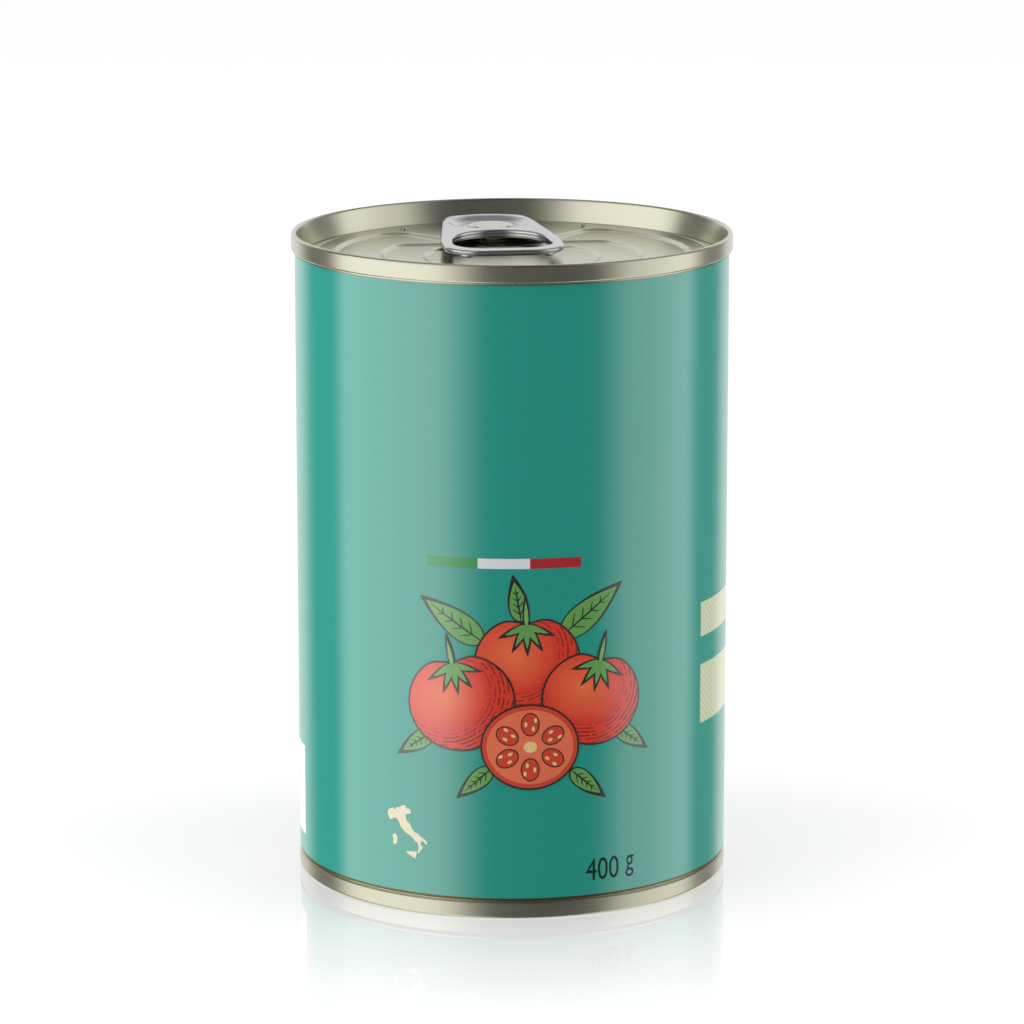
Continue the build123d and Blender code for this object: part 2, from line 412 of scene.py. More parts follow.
def lobed_outline(radius, tip_half, tip_y, slope, lobe, tip_corner):
    """A circle less a wedge that opens towards +Y, its corners rounded."""
    along = Vector((cos(radians(slope)), sin(radians(slope))))
    into = Vector((along.y, -along.x))
    base = Vector((tip_half, tip_y)) + lobe * into
    reach = base.dot(along)
    run = sqrt(reach**2 - base.length_squared + (radius - lobe) ** 2) - reach
    middle = base + run * along
    lean = atan2(middle.y, middle.x) * 180 / pi
    right = arc(middle.x, middle.y, lobe, lean, slope + 90)
    tip_x = tip_half - tip_corner * tan(radians(slope / 2))
    right += arc(tip_x, tip_y + tip_corner, tip_corner, slope - 90, -90)
    left = [(-x, y) for x, y in reversed(right)]
    return right + left + arc(0, 0, radius, 180 - lean, 360 + lean)[1:-1]


def block_of(outline, low, high):
    """A block with an outline of (x, y) points between two heights, in millimetres."""
    mesh = bpy.data.meshes.new("cutter")
    mesh.from_pydata([(x * MM, y * MM, low * MM) for x, y in outline], [], [range(len(outline))])
    piece = bpy.data.objects.new("cutter", mesh)
    bpy.context.scene.collection.objects.link(piece)
    edit_all(piece)
    rise = {"value": (0, 0, (high - low) * MM)}
    bpy.ops.mesh.extrude_region_move(TRANSFORM_OT_translate=rise)
    bpy.ops.mesh.select_all(action="SELECT")
    bpy.ops.mesh.normals_make_consistent(inside=False)
    bpy.ops.object.mode_set(mode="OBJECT")
    return piece


def select_faces_at(piece, height):
    """In edit mode, select only the level faces at a height in millimetres."""
    edit_all(piece)
    bpy.ops.mesh.select_all(action="DESELECT")
    bpy.ops.object.mode_set(mode="OBJECT")
    for face in piece.data.polygons:
        flat = abs(face.normal.z) > 0.99
        face.select = flat and abs(face.center.z / MM - height) < 0.01
    bpy.ops.object.mode_set(mode="EDIT")
    bpy.ops.mesh.select_mode(type="FACE")


SHOULDER_STEPS = 8


def soften(cutter, level, depth, shoulder):
    """Let a cutter's underside down by depth over an S-shaped shoulder."""
    select_faces_at(cutter, level)
    done = 0.0
    for step in range(1, SHOULDER_STEPS + 1):
        share = step / SHOULDER_STEPS
        sunk = depth * share * share * (3 - 2 * share)
        inward = shoulder / SHOULDER_STEPS * MM
        bpy.ops.mesh.inset(thickness=inward, depth=(sunk - done) * MM)
        done = sunk
    bpy.ops.object.mode_set(mode="OBJECT")
    return cutter


# %% Panel
LID_TURN = radians(7.3)
SHOULDER = 1.15
PANEL_OVERLAP = 0.03
bpy.ops.object.select_all(action="DESELECT")
bpy.ops.mesh.primitive_cylinder_add(
    vertices=TURN_STEPS,
    radius=(SCORE_IN + PANEL_OVERLAP) * MM,
    depth=(PANEL_Z - LID_BASE - PANEL_OVERLAP) * MM,
    location=(0, 0, (PANEL_Z + LID_BASE + PANEL_OVERLAP) / 2 * MM),
)
panel = bpy.context.object
settle(panel)
field = panel_edge - 3.9
fields = (
    (lobed_outline(field, 0.28 * field, 0.5 * field, 49.8, 4.5, 2.0), 0.45),
    (field_outline(0.655 * panel_edge, 0.393 * panel_edge, 3.5), 0.4),
    (field_outline(0.448 * panel_edge, 0.393 * panel_edge - 3, 3.5), 0.3),
)
level = PANEL_Z
for outline, depth in fields:
    cutter = soften(block_of(outline, level, level + 2), level, depth, SHOULDER)
    cutter.rotation_euler.z = LID_TURN
    print("field from", level, "low point", min(v.co.z for v in cutter.data.vertices) / MM)
    cut(panel, cutter)
    level -= depth

# %% [markdown]
# ## Bead, rivet and the finished lid
# A short raised bead runs behind the ring-pull's nose. The rivet is drawn up from the
# lid's own metal: a broad boss, and a flat head that clamps the tab. The bead is a low
# half-round profile spun through part of a turn, with a squashed ball at each end. The
# spin runs clockwise seen from above, so it starts at the end that lies further round.

# %% Bead
BEAD_HALF_ANGLE = radians(31)
BEAD_RADIUS = field - 0.2
BEAD_TALLNESS = 0.7
bead_profile = arc(BEAD_RADIUS, PANEL_Z - 0.02, 0.6, 0, 180, BEAD_TALLNESS)
bead = turned(bead_profile + bead_profile[:1], 48, 2 * BEAD_HALF_ANGLE)
edit_all(bead)
bpy.ops.mesh.fill_holes(sides=0)
bpy.ops.object.mode_set(mode="OBJECT")
bead.rotation_euler.z = LID_TURN + pi / 2 + BEAD_HALF_ANGLE
settle(bead)
for side in (-1, 1):
    turn = LID_TURN + pi / 2 + side * BEAD_HALF_ANGLE
    bpy.ops.object.select_all(action="DESELECT")
    bpy.ops.mesh.primitive_uv_sphere_add(segments=24, ring_count=16, radius=0.6 * MM)
    end = bpy.context.object
    end.scale.z = BEAD_TALLNESS
    end.location = (BEAD_RADIUS * cos(turn) * MM, BEAD_RADIUS * sin(turn) * MM, (PANEL_Z - 0.02) * MM)
    settle(end)
    join(bead, end)


# %% Ring-pull's place, rivet and lid
TAB_LENGTH = 35.4
TAB_THICK = 1.05
TAB_ASIDE = -1.4
TAB_TILT = radians(1.47)
RIVET_Y = TAB_LENGTH - 10.8
ring_end_y = panel_edge - 5.87 - TAB_LENGTH


def place_on_lid(piece):
    """Lay a piece drawn along +Y from the ring's end on the lid, tilted and turned."""
    piece.rotation_mode = "ZYX"
    piece.rotation_euler = (TAB_TILT, 0, LID_TURN)
    x = TAB_ASIDE * cos(LID_TURN) - ring_end_y * sin(LID_TURN)
    y = TAB_ASIDE * sin(LID_TURN) + ring_end_y * cos(LID_TURN)
    piece.location = (x * MM, y * MM, (PANEL_Z + 0.2) * MM)
    settle(piece)


def stud(radius, low, high, edge):
    """A round stud at the rivet's place, its edges rounded."""
    bpy.ops.object.select_all(action="DESELECT")
    bpy.ops.mesh.primitive_cylinder_add(
        vertices=64,
        radius=radius * MM,
        depth=(high - low) * MM,
        location=(0, RIVET_Y * MM, (low + high) / 2 * MM),
    )
    piece = bpy.context.object
    settle(piece)
    edit_all(piece)
    bpy.ops.mesh.select_all(action="DESELECT")
    bpy.ops.mesh.edges_select_sharp(sharpness=radians(60))
    bpy.ops.mesh.bevel(offset=edge * MM, segments=3)
    bpy.ops.object.mode_set(mode="OBJECT")
    return piece


boss = stud(3.2, -1.2, -0.03, 0.15)
shank = stud(1.8, -0.2, 0.95, 0.05)
head = stud(3.1, 0.85, 0.995, 0.02)
join(boss, shank, head)
place_on_lid(boss)
join(rim, panel, bead, boss)
finish_steel(rim, "steel_lid", steel_top, "lacquered_steel", 38, "lid")

# %% [markdown]
# ## Ring-pull
# The tab is stamped from thicker sheet and its edges are curled under, so everything on
# it is round. Its outline and its finger hole are each a skin pulled over a few discs,
# for which Blender has Convex Hull. The rolled edges are bevels, and the nose has a
# C-shaped channel round the plate that the rivet holds down.


# %% Blocks wrapped round discs
def wrapped(discs, low, high):
    """A block wrapped round upright discs (x, y, radius), in millimetres."""
    bpy.ops.object.select_all(action="DESELECT")
    for count, (x, y, radius) in enumerate(discs):
        bpy.ops.mesh.primitive_cylinder_add(
            vertices=96,
            radius=radius * MM,
            depth=(high - low) * MM,
            location=(x * MM, y * MM, (low + high) / 2 * MM),
        )
        if count == 0:
            bpy.ops.object.mode_set(mode="EDIT")
    bpy.ops.mesh.select_all(action="SELECT")
    bpy.ops.mesh.convex_hull()
    bpy.ops.mesh.select_all(action="SELECT")
    bpy.ops.mesh.dissolve_limited(angle_limit=radians(0.5))
    piece = bpy.context.object
    settle(piece)
    return piece


def roll_edges(piece, amount, segments):
    """Round all of a piece's sharp edges."""
    edit_all(piece)
    bpy.ops.mesh.select_all(action="DESELECT")
    bpy.ops.mesh.select_mode(type="EDGE")
    bpy.ops.mesh.edges_select_sharp(sharpness=radians(60))
    bpy.ops.mesh.bevel(offset=amount * MM, segments=segments)
    bpy.ops.object.mode_set(mode="OBJECT")


# %% Tab
tab = wrapped(
    (
        (-4.05, 6.2, 6.2),
        (4.05, 6.2, 6.2),
        (0, 11, 10.25),
        (-3.7, 30.9, 3.7),
        (3.7, 30.9, 3.7),
        (0, TAB_LENGTH - 8.2, 8.2),
    ),
    0,
    TAB_THICK,
)
cut(tab, wrapped(((-3, 8, 5.4), (3, 8, 5.4), (0, 11.4, 8.1)), -1, 3))
roll_edges(tab, 0.46, 5)

# %% Channel, plate and slits
CHANNEL_DEPTH = 0.85
channel = wrapped(
    ((-4.7, 24.9, 2.1), (4.7, 24.9, 2.1), (-0.8, 27.7, 6.5), (0.8, 27.7, 6.5)),
    TAB_THICK,
    TAB_THICK + 1,
)
cut(tab, soften(channel, TAB_THICK, CHANNEL_DEPTH, 2.1))
plate = stud(3.95, TAB_THICK - CHANNEL_DEPTH - 0.1, TAB_THICK - 0.08, 0.2)
for x in (-3.2, 3.2):
    for sheet in (tab, plate):
        slit = wrapped(((x, RIVET_Y - 1.5, 0.2), (x * 0.78, RIVET_Y - 2.4, 0.2)), 0.5, 2)
        cut(sheet, slit)

# %% Curl round the back of the finger hole
bpy.ops.object.select_all(action="DESELECT")
bpy.ops.mesh.primitive_torus_add(
    major_radius=8.65 * MM,
    minor_radius=0.56 * MM,
    major_segments=96,
    minor_segments=16,
    location=(0, 11.4 * MM, 0.06 * MM),
)
curl = bpy.context.object
settle(curl)
edit_all(curl)
bpy.ops.mesh.bisect(
    plane_co=(0, 11 * MM, 0), plane_no=(0, 1, 0), clear_inner=True, use_fill=True
)
bpy.ops.object.mode_set(mode="OBJECT")

# %% Curled feet under the ring's end
feet = []
for x, y in ((-6.9, 1.5), (6.9, 1.5)):
    bpy.ops.object.select_all(action="DESELECT")
    bpy.ops.mesh.primitive_uv_sphere_add(segments=24, ring_count=16, radius=MM)
    foot = bpy.context.object
    foot.scale = (1.25, 0.8, 0.45)
    foot.rotation_euler.z = -0.6 if x < 0 else 0.6
    foot.location = (x * MM, y * MM, 0.08 * MM)
    settle(foot)
    feet.append(foot)
join(tab, plate, curl, *feet)
place_on_lid(tab)
finish_steel(tab, "ring_pull_steel", steel_ring, "ring_steel", 40, "ring_pull")

# %% [markdown]
# ## Label sleeve
# One turn of paper round the body, from an open cylinder given the paper's thickness.
# The glued lap at the back is a second short layer, so its edge shows as a fine step.


# %% Sleeve and lap
PAPER = 0.2 * MM


def paper_tube(radius):
    """An open tube at the label's place and height."""
    bpy.ops.object.select_all(action="DESELECT")
    bpy.ops.mesh.primitive_cylinder_add(
        vertices=360,
        radius=radius,
        depth=label_high.z - label_low.z,
        end_fill_type="NOTHING",
        location=(0, 0, (label_low.z + label_high.z) / 2),
    )
    piece = bpy.context.object
    settle(piece)
    return piece


def thicken(piece):
    """Give the tube the paper's thickness, inwards."""
    select_only(piece)
    thickness = piece.modifiers.new("paper", "SOLIDIFY")
    thickness.thickness = PAPER
    thickness.offset = -1
    bpy.ops.object.modifier_apply(modifier="paper")


sleeve = paper_tube(LABEL_RADIUS)
thicken(sleeve)
LAP_HALF = radians(6)
lap = paper_tube(LABEL_RADIUS + PAPER)
for face in lap.data.polygons:
    face.select = abs(atan2(face.center.x, face.center.y)) > LAP_HALF
bpy.ops.object.mode_set(mode="EDIT")
bpy.ops.mesh.delete(type="FACE")
bpy.ops.object.mode_set(mode="OBJECT")
thicken(lap)
join(sleeve, lap)
sleeve.name = "label_sleeve"
bpy.ops.object.shade_smooth_by_angle(angle=radians(30))
sleeve.data.materials.append(teal)
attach(sleeve, "root")
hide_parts("label")
print("label sleeve", len(sleeve.data.polygons), "faces")

# %% [markdown]
# ## Print on a round label
# Each printed shape is drawn flat, with x as the distance round the label and y as the
# height, cut into narrow strips and bent round the tin. Real inks overlap, so each
# layer stands a hair above the last and covers it.

# %% Flat shapes bent round the label
INK_STEP = 0.015 * MM
STRIP = 1.4 * MM


def bend_round(piece, layer):
    """Bend a flat print in the XY plane round the tin, with its Y axis upright."""
    edit_all(piece)
    low = min(v.co.x for v in piece.data.vertices)
    high = max(v.co.x for v in piece.data.vertices)
    steps = int((high - low) / STRIP)
    for step in range(1, steps + 1):
        bpy.ops.mesh.select_all(action="SELECT")
        place = low + (high - low) * step / (steps + 1)
        bpy.ops.mesh.bisect(plane_co=(place, 0, 0), plane_no=(1, 0, 0))
    bpy.ops.object.mode_set(mode="OBJECT")
    radius = LABEL_RADIUS + layer * INK_STEP
    for vertex in piece.data.vertices:
        angle = vertex.co.x / LABEL_RADIUS
        vertex.co = (radius * sin(angle), -radius * cos(angle), vertex.co.y)
    piece.data.update()


def printed(piece, name, layer, paint):
    """Finish a flat shape or text as one ink on the label, facing outwards."""
    select_only(piece)
    if piece.type != "MESH":
        bpy.ops.object.convert(target="MESH")
        piece = bpy.context.object
    settle(piece)
    bend_round(piece, layer)
    outward = sum(f.area * (f.normal.x * f.center.x + f.normal.y * f.center.y) for f in piece.data.polygons)
    if outward < 0:
        edit_all(piece)
        bpy.ops.mesh.flip_normals()
        bpy.ops.object.mode_set(mode="OBJECT")
    piece.name = name
    piece.data.materials.clear()
    piece.data.materials.append(paint)
    bpy.ops.object.shade_smooth_by_angle(angle=radians(30))
    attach(piece, "root")
    return piece


def flat_block(left, right, low, high):
    """A flat rectangle, in millimetres round and up the label."""
    bpy.ops.object.select_all(action="DESELECT")
    bpy.ops.mesh.primitive_plane_add(size=1)
    piece = bpy.context.object
    piece.scale = ((right - left) * MM, (high - low) * MM, 1)
    piece.location = ((left + right) / 2 * MM, (low + high) / 2 * MM, 0)
    return piece


STRIPE = (59.7, 61.4)
printed(flat_block(-14.3, -5.65, *STRIPE), "stripe_green", 1, flag_green)
printed(flat_block(-5.65, 2.95, *STRIPE), "stripe_white", 1, flag_white)
printed(flat_block(2.95, 11.5, *STRIPE), "stripe_red", 1, flag_red)
printed(flat_block(-62, -47.4, 7.0, 22.7), "code_patch", 1, flag_white)
print("stripe and code patch printed")

# %% [markdown]
# ## Side panels
# Two pale panels at the side carry a fine security tint, a net of thin crossed lines.
# Two Wave textures on Object coordinates, one leaning each way, make that net.


# %% Tinted panels
def panel_tint():
    """Pale ink with a net of fine, faint green lines."""
    material, tree, shader = new_material("print_tint")
    where = tree.nodes.new("ShaderNodeTexCoord")
    nets = []
    for lean in (0.8, -0.8):
        mapping = tree.nodes.new("ShaderNodeMapping")
        mapping.inputs["Rotation"].default_value = (lean, 0, 0)
        wave = tree.nodes.new("ShaderNodeTexWave")
        wave.bands_direction = "Y"
        wave.inputs["Scale"].default_value = 360.0
        wave.inputs["Distortion"].default_value = 0.6
        tree.links.new(where.outputs["Object"], mapping.inputs["Vector"])
        tree.links.new(mapping.outputs["Vector"], wave.inputs["Vector"])
        nets.append(wave.outputs["Fac"])
    net = combine(tree, "MULTIPLY", nets[0], nets[1])
    tone = blend_colours(tree, net, linear(216, 219, 186), linear(172, 196, 150))
    tree.links.new(tone, shader.inputs["Base Color"])
    varnish(tree, shader)
    return material


tint = panel_tint()
printed(flat_block(38.2, 62, 43.9, 49.8), "side_panel_upper", 1, tint)
printed(flat_block(38.2, 62, 28.9, 39.1), "side_panel_lower", 1, tint)

# %% [markdown]
# ## Weight
# The net weight is set in a narrow face. The built-in font is wider, so the text is
# squeezed to its width. The unit's letter is raised, so that its tail ends near the
# foot of the figures.

# %% Weight in grams
DIGIT_SIZE = 5.4
BASE_LINE = 6.05
for name, words, left, lift, width in (
    ("weight_number", "400", 12.5, 0, 6.0),
    ("weight_unit", "g", 19.9, 1.0, 1.6),
):
    bpy.ops.object.select_all(action="DESELECT")
    bpy.ops.object.text_add()
    text = bpy.context.object
    text.data.body = words
    text.data.size = DIGIT_SIZE * MM
    bpy.context.view_layer.update()
    text.scale.x = width * MM / text.dimensions.x
    text.location = (left * MM, (BASE_LINE + lift) * MM, 0)
    printed(text, name, 1, black)

# %% [markdown]
# ## Map of Italy
# A plain little outline map, with its two large islands. Longitudes and latitudes are
# scaled to millimetres, with longitude shortened as it is at 42 degrees north.

# %% Coastline
MAINLAND = (
    (7.5, 43.8), (8.9, 44.4), (9.8, 44.1), (10.3, 43.5), (10.6, 42.9), (11.2, 42.4),
    (12.3, 41.7), (13.6, 41.2), (14.3, 40.8), (15.0, 40.2), (15.7, 40.0), (16.1, 39.0),
    (15.7, 37.9), (16.1, 37.9), (16.6, 38.5), (17.2, 39.0), (17.1, 39.4), (16.5, 39.7),
    (16.8, 40.3), (17.2, 40.5), (18.0, 39.9), (18.4, 39.8), (18.5, 40.2), (18.0, 40.7),
    (16.9, 41.2), (16.0, 41.5), (16.2, 41.8), (15.2, 41.9), (14.2, 42.5), (13.5, 43.6),
    (12.5, 44.1), (12.3, 44.9), (12.3, 45.4), (13.8, 45.6), (13.6, 46.5), (12.4, 46.7),
    (12.2, 47.1), (11.1, 47.0), (10.4, 46.6), (9.3, 46.4), (9.0, 45.9), (8.4, 46.3),
    (7.0, 45.8), (6.7, 45.0), (7.0, 44.3),
)
ISLANDS = (
    ((12.5, 38.0), (15.6, 38.2), (15.1, 36.7), (14.2, 37.0), (12.6, 37.6)),
    ((8.2, 40.9), (9.2, 41.2), (9.7, 40.6), (9.6, 39.3), (8.5, 38.9), (8.4, 40.0)),
)
MAP_SCALE = 0.86
MAP_LEFT, MAP_LOW = -22.0, 9.4
for count, coast in enumerate((MAINLAND, *ISLANDS), 1):
    bpy.ops.object.select_all(action="DESELECT")
    bpy.ops.mesh.primitive_circle_add(vertices=len(coast), radius=MM, fill_type="NGON")
    land = bpy.context.object
    for vertex, (east, north) in zip(land.data.vertices, coast):
        x = MAP_LEFT + (east - 6.7) * cos(radians(42)) * MAP_SCALE
        y = MAP_LOW + (north - 36.7) * MAP_SCALE
        vertex.co = (x * MM, y * MM, 0)
    printed(land, f"map_{count}", 1, cream)
print("map printed")

# %% [markdown]
# ## Fruit ink
# The tomatoes are printed like an old engraving: a glow on the shoulder and fine
# curved hatching in the shade. Both follow each fruit's own UV map, as the distance
# from the glow's middle, so one ink serves fruits of any size.


# %% Tomato ink
def fruit_ink():
    """Red with a soft glow and rings of short dark dashes away from it."""
    material, tree, shader = new_material("print_tomato")
    unwrapped = tree.nodes.new("ShaderNodeUVMap")
    unwrapped.uv_map = "UVMap"
    reach = tree.nodes.new("ShaderNodeVectorMath")
    reach.operation = "DISTANCE"
    reach.inputs[1].default_value = (0.38, 0.62, 0)
    tree.links.new(unwrapped.outputs["UV"], reach.inputs[0])
    away = reach.outputs["Value"]
    glow = span(tree, away, 0.0, 1.0, 0.0, 0.42)
    body_tone = blend_colours(tree, glow, linear(240, 112, 62), linear(218, 48, 22))
    rings = combine(tree, "SINE", combine(tree, "MULTIPLY", away, 150.0), 0.0)
    shade = span(tree, away, 0.0, 1.0, 0.36, 0.5)
    broken = span(tree, noise(tree, 900.0, 1.0), 0.0, 1.0, 0.42, 0.5)
    dashes = combine(tree, "MULTIPLY", span(tree, rings, 0.0, 1.0, 0.25, 0.6), shade)
    dashes = combine(tree, "MULTIPLY", dashes, broken)
    tone = blend_colours(tree, dashes, body_tone, linear(120, 18, 10))
    tree.links.new(tone, shader.inputs["Base Color"])
    varnish(tree, shader)
    return material


tomato_red = fruit_ink()

# %% [markdown]
# ## Flat shapes of the picture
# Discs and leaves are all that the picture needs. A leaf is a disc whose vertices are
# drawn in towards one end, and a dark copy a little larger, one layer down, outlines it.


# %% Discs, leaves and strokes
OUTLINE = 0.32


def disc(x, y, half_width, half_height, turn=0.0):
    """A flat ellipse, in millimetres round and up the label."""
    bpy.ops.object.select_all(action="DESELECT")
    bpy.ops.mesh.primitive_circle_add(vertices=64, radius=1, fill_type="NGON")
    piece = bpy.context.object
    piece.scale = (half_width * MM, half_height * MM, 1)
    piece.rotation_euler.z = radians(turn)
    piece.location = (x * MM, y * MM, 0)
    return piece


def leaf(x, y, length, width, turn, fullness=1.0):
    """A flat leaf that starts at a point and ends in a tip towards the angle turn."""
    piece = disc(x, y, length / 2, width / 2, turn)
    for vertex in piece.data.vertices:
        around = atan2(vertex.co.y, vertex.co.x)
        vertex.co.y *= abs(sin(around / 2)) ** fullness
        vertex.co.x += 1
    return piece


def stroke(x, y, length, width, turn):
    """A thin tapering line from a point towards the angle turn."""
    return leaf(x, y, length, width, turn, 0.6)


def outlined(shape, x, y, first, second, turn, name, layer, paint):
    """A shape over a slightly larger dark copy of itself."""
    back_x, back_y = x, y
    if shape is leaf:
        back_x -= OUTLINE * cos(radians(turn))
        back_y -= OUTLINE * sin(radians(turn))
    grow = 2 * OUTLINE if shape is leaf else OUTLINE
    longer = first + (2.6 * grow if shape is leaf else grow)
    edge = printed(shape(back_x, back_y, longer, second + grow, turn), name, layer, line_ink)
    top = printed(shape(x, y, first, second, turn), name, layer + 1, paint)
    return join(edge, top)


# %% [markdown]
# ## Basil leaves
# The leaves lie behind the fruit, a large pair above and smaller ones round the foot.
# Each has a midrib and side veins in the outline's ink.

# %% Leaves
LEAVES = (
    (-5.0, 47.5, 11.5, 5.6, 146),
    (8.5, 48.5, 12.0, 5.8, 38),
    (1.5, 51.0, 6.6, 3.8, 100),
    (-13.5, 31.5, 6.5, 3.6, 214),
    (18.0, 32.0, 6.5, 3.6, -36),
    (-3.5, 25.8, 6.6, 3.6, 222),
    (10.0, 25.2, 6.6, 3.6, -40),
)
VEINS = 4
for count, (x, y, length, width, turn) in enumerate(LEAVES, 1):
    name = f"basil_leaf_{count}"
    piece = outlined(leaf, x, y, length, width, turn, name, 1, leaf_green)
    veins = [printed(stroke(x, y, length * 0.93, 0.34, turn), name, 3, line_ink)]
    for vein in range(VEINS):
        along = length * (0.16 + 0.17 * vein)
        root_x = x + along * cos(radians(turn))
        root_y = y + along * sin(radians(turn))
        reach = width * (0.42 - 0.07 * vein)
        for side in (-42, 42):
            line = stroke(root_x, root_y, reach, 0.22, turn + side)
            veins.append(printed(line, name, 3, line_ink))
    join(piece, *veins)
print(len(LEAVES), "leaves printed")

# %% [markdown]
# ## Whole tomatoes
# A tomato is a slightly flattened disc with a dimple at the stalk. Five narrow sepals
# and a short stalk crown it. One stands behind, and two lean against it.


# %% Whole fruit
def fruit(x, y, half_width, half_height, turn=0.0):
    """A flattened disc with a dimple in the top."""
    piece = disc(x, y, half_width, half_height, turn)
    for vertex in piece.data.vertices:
        if vertex.co.y > 0:
            vertex.co.y -= 0.16 * 2.718 ** (-((vertex.co.x / 0.3) ** 2))
    return piece


TOMATOES = (
    (2.6, 43.8, 8.6, 7.9, 2, 4),
    (-8.6, 37.0, 8.9, 8.0, 12, 8),
    (13.6, 37.4, 8.5, 7.7, -12, 8),
)
for count, (x, y, half_width, half_height, turn, layer) in enumerate(TOMATOES, 1):
    name = f"tomato_{count}"
    piece = outlined(fruit, x, y, half_width, half_height, turn, name, layer, tomato_red)
    up = radians(90 + turn)
    crown_x = x + 0.8 * half_height * cos(up)
    crown_y = y + 0.8 * half_height * sin(up)
    sepals = [outlined(leaf, crown_x, crown_y, 4.2, 0.9, 90 + turn, name, layer + 2, stalk_green)]
    for lean in (-150, -112, 112, 150, 180):
        tip = 90 + turn + lean
        sepals.append(outlined(leaf, crown_x, crown_y, 3.9, 1.3, tip, name, layer + 2, leaf_green))
    join(piece, *sepals)
print(len(TOMATOES), "tomatoes printed")

# %% [markdown]
# ## Half tomato
# In front lies a half with its cut face out: a red skin, paler flesh, and seed chambers
# round a pale core, each with its row of seeds.

# %% Cut face
HALF_X, HALF_Y, HALF_WIDTH, HALF_HEIGHT = 3.0, 29.6, 7.9, 7.0
half = outlined(disc, HALF_X, HALF_Y, HALF_WIDTH, HALF_HEIGHT, 0, "tomato_half", 12, chamber)
cells = [printed(disc(HALF_X, HALF_Y, HALF_WIDTH - 0.7, HALF_HEIGHT - 0.7), "flesh", 14, flesh)]
CHAMBERS = 6
for count in range(CHAMBERS):
    turn = 360 * count / CHAMBERS + 30
    outward = (cos(radians(turn)) * HALF_WIDTH, sin(radians(turn)) * HALF_HEIGHT)
    x, y = HALF_X + 0.55 * outward[0], HALF_Y + 0.55 * outward[1]
    cells.append(printed(disc(x, y, 2.0, 1.55, turn), "chamber", 15, line_ink))
    cells.append(printed(disc(x, y, 1.8, 1.35, turn), "chamber", 16, chamber))
    for spot, lean in ((0.45, -5), (0.56, 6), (0.66, -6)):
        spot_x = HALF_X + spot * HALF_WIDTH * cos(radians(turn + lean * 1.6))
        spot_y = HALF_Y + spot * HALF_HEIGHT * sin(radians(turn + lean * 1.6))
        cells.append(printed(disc(spot_x, spot_y, 0.42, 0.24, turn), "seed", 17, seed))
cells.append(printed(disc(HALF_X, HALF_Y, 1.1, 0.95), "core", 15, seed))
join(half, *cells)
print("half tomato printed")

# %% [markdown]
# ## Floor
# The tin stands on a plain white, slightly polished sheet that fades into the white
# behind it. Part of its light is its own, so it reads as white, and the rest is lit, so
# that it keeps the tin's shadow. It mirrors the tin only close round it.

# %% White sheet
bpy.ops.object.select_all(action="DESELECT")
bpy.ops.mesh.primitive_plane_add(size=6)
floor = bpy.context.object
floor.name = "floor"
floor.visible_glossy = False
floor.visible_diffuse = False
floor.visible_shadow = False
material, tree, shader = new_material("floor")
shader.inputs["Base Color"].default_value = (0.9, 0.9, 0.9, 1)
shader.inputs["Roughness"].default_value = 0.9
shader.inputs["Specular IOR Level"].default_value = 0.0
glow = tree.nodes.new("ShaderNodeEmission")
glow.inputs["Color"].default_value = (1, 1, 1, 1)
glow.inputs["Strength"].default_value = 1.33
soft_white = tree.nodes.new("ShaderNodeMixShader")
soft_white.inputs["Fac"].default_value = 0.42
tree.links.new(glow.outputs[0], soft_white.inputs[1])
tree.links.new(shader.outputs[0], soft_white.inputs[2])
polish = tree.nodes.new("ShaderNodeBsdfGlossy")
polish.inputs["Roughness"].default_value = 0.03
where = tree.nodes.new("ShaderNodeTexCoord")
away = tree.nodes.new("ShaderNodeVectorMath")
away.operation = "LENGTH"
tree.links.new(where.outputs["Object"], away.inputs[0])
fade = span(tree, away.outputs["Value"], 0.44, 0.0, 0.034, 0.104)
surface = tree.nodes.new("ShaderNodeMixShader")
tree.links.new(fade, surface.inputs["Fac"])
tree.links.new(soft_white.outputs[0], surface.inputs[1])
tree.links.new(polish.outputs[0], surface.inputs[2])
tree.links.new(surface.outputs[0], tree.nodes["Material Output"].inputs["Surface"])
floor.data.materials.append(material)

# %% [markdown]
# ## Studio light
# Round metal shows its surroundings as upright bands. Broad screens stand at both sides
# and behind, with dark gaps in front and at the corners, and the ceiling is dimmer. The
# world is that ring of screens, as a ramp over the compass direction.

# %% Ring of screens
# (degrees from straight in front, towards +X, and brightness).
STUDIO = (
    (-180, 0.9),
    (-150, 1.0),
    (-128, 0.2),
    (-110, 0.2),
    (-97, 1.45),
    (-45, 1.4),
    (-10, 0.14),
    (42, 0.12),
    (68, 0.95),
    (104, 1.3),
    (119, 0.28),
    (134, 0.28),
    (153, 1.0),
    (180, 0.9),
)
OVERHEAD = 0.35
world = bpy.data.worlds.new("studio")
bpy.context.scene.world = world
world.use_nodes = True
tree = world.node_tree
tree.nodes.clear()
where = tree.nodes.new("ShaderNodeTexCoord")
parts = tree.nodes.new("ShaderNodeSeparateXYZ")
tree.links.new(where.outputs["Generated"], parts.inputs[0])
front = combine(tree, "MULTIPLY", parts.outputs["Y"], -1.0)
compass = combine(tree, "ARCTAN2", parts.outputs["X"], front)
screens = tree.nodes.new("ShaderNodeValToRGB")
tree.links.new(span(tree, compass, 0.0, 1.0, -pi, pi), screens.inputs["Fac"])
ramp = screens.color_ramp
ramp.interpolation = "EASE"
ramp.elements[0].color = (STUDIO[0][1], STUDIO[0][1], STUDIO[0][1], 1)
ramp.elements[1].color = (STUDIO[-1][1], STUDIO[-1][1], STUDIO[-1][1], 1)
for degrees, brightness in STUDIO[1:-1]:
    stop = ramp.elements.new((degrees + 180) / 360)
    stop.color = (brightness, brightness, brightness, 1)
path = tree.nodes.new("ShaderNodeLightPath")
around = tree.nodes.new("ShaderNodeBackground")
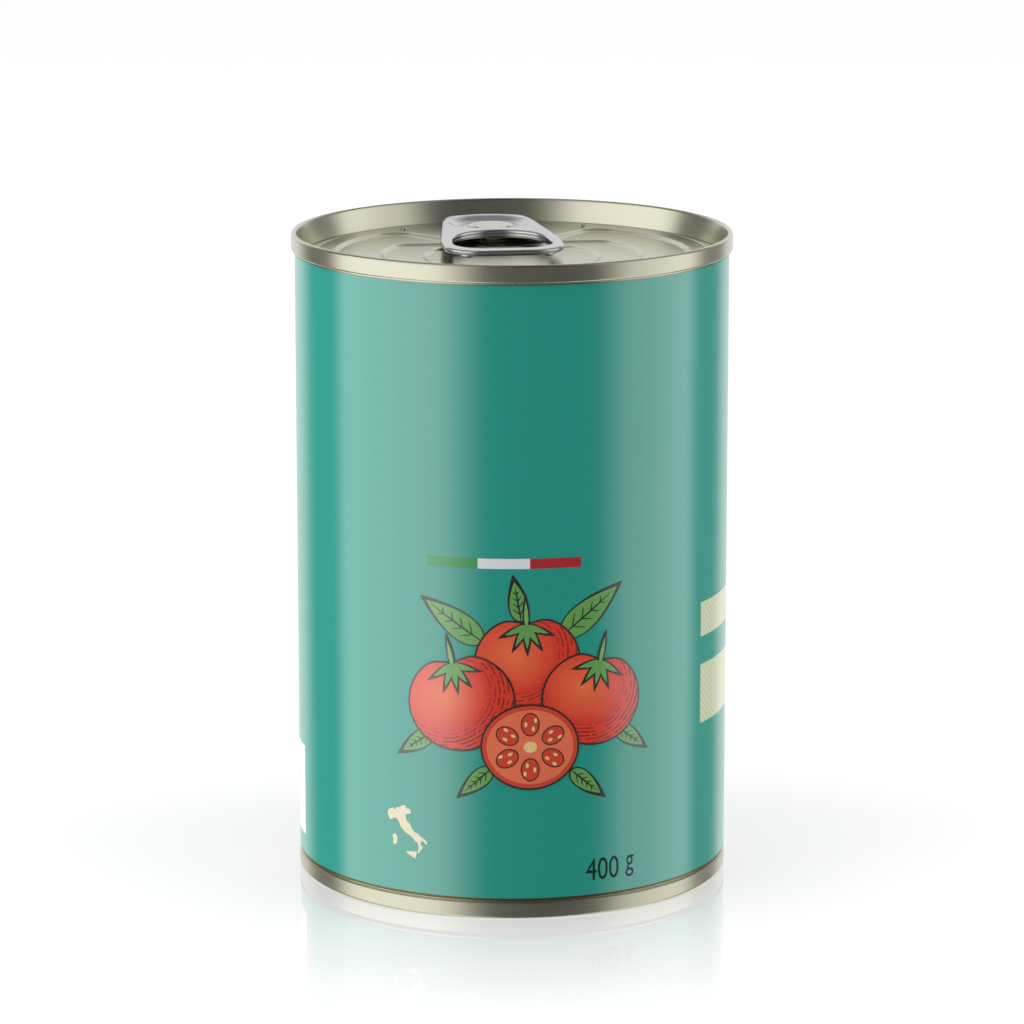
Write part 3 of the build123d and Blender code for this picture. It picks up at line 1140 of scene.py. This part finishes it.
tree.links.new(screens.outputs["Color"], around.inputs["Color"])
overhead = span(tree, parts.outputs["Z"], 1.0, OVERHEAD, 0.4, 0.85)
tree.links.new(overhead, around.inputs["Strength"])
plain = tree.nodes.new("ShaderNodeBackground")
plain.inputs["Color"].default_value = (1, 1, 1, 1)
choose = tree.nodes.new("ShaderNodeMixShader")
output = tree.nodes.new("ShaderNodeOutputWorld")
tree.links.new(path.outputs["Is Camera Ray"], choose.inputs["Fac"])
tree.links.new(around.outputs[0], choose.inputs[1])
tree.links.new(plain.outputs[0], choose.inputs[2])
tree.links.new(choose.outputs[0], output.inputs["Surface"])
print("studio with", len(STUDIO), "stops")

# %% [markdown]
# ## Lamps
# Two large soft lamps, one each side, lift matt surfaces to the level at which a colour
# renders about as it is written. They are hidden from reflections, which the ring of
# screens already gives.

# %% Side lamps
LAMP_DISTANCE = 1.2
LAMP_WATTS = 8.5
for side in (-1, 1):
    turn, rise = side * radians(72), radians(30)
    lamp_data = bpy.data.lights.new("soft_lamp", "AREA")
    lamp_data.shape = "SQUARE"
    lamp_data.size = 1.0
    lamp_data.energy = LAMP_WATTS
    lamp = bpy.data.objects.new("soft_lamp", lamp_data)
    towards = Vector((sin(turn) * cos(rise), -cos(turn) * cos(rise), sin(rise)))
    lamp.location = LAMP_DISTANCE * towards
    lamp.rotation_euler = towards.to_track_quat("Z", "Y").to_euler()
    lamp.visible_glossy = False
    bpy.context.scene.collection.objects.link(lamp)
print("two lamps of", LAMP_WATTS, "W")

# %% [markdown]
# ## Camera
# A long lens a little above the tin keeps its sides nearly upright. Standard keeps
# colours as they are written.

# %% Long lens
EYE_HEIGHT = radians(12.23)
EYE_DISTANCE = 0.8131
aim = Vector((0, 0, 0.0613))
camera_data = bpy.data.cameras.new("camera")
camera_data.lens = 167.2
camera_data.sensor_width = 36
camera = bpy.data.objects.new("camera", camera_data)
camera.location = aim + EYE_DISTANCE * Vector((0, -cos(EYE_HEIGHT), sin(EYE_HEIGHT)))
camera.rotation_euler = (pi / 2 - EYE_HEIGHT, 0, 0)
bpy.context.scene.collection.objects.link(camera)
bpy.context.scene.camera = camera
bpy.context.scene.view_settings.view_transform = "Standard"
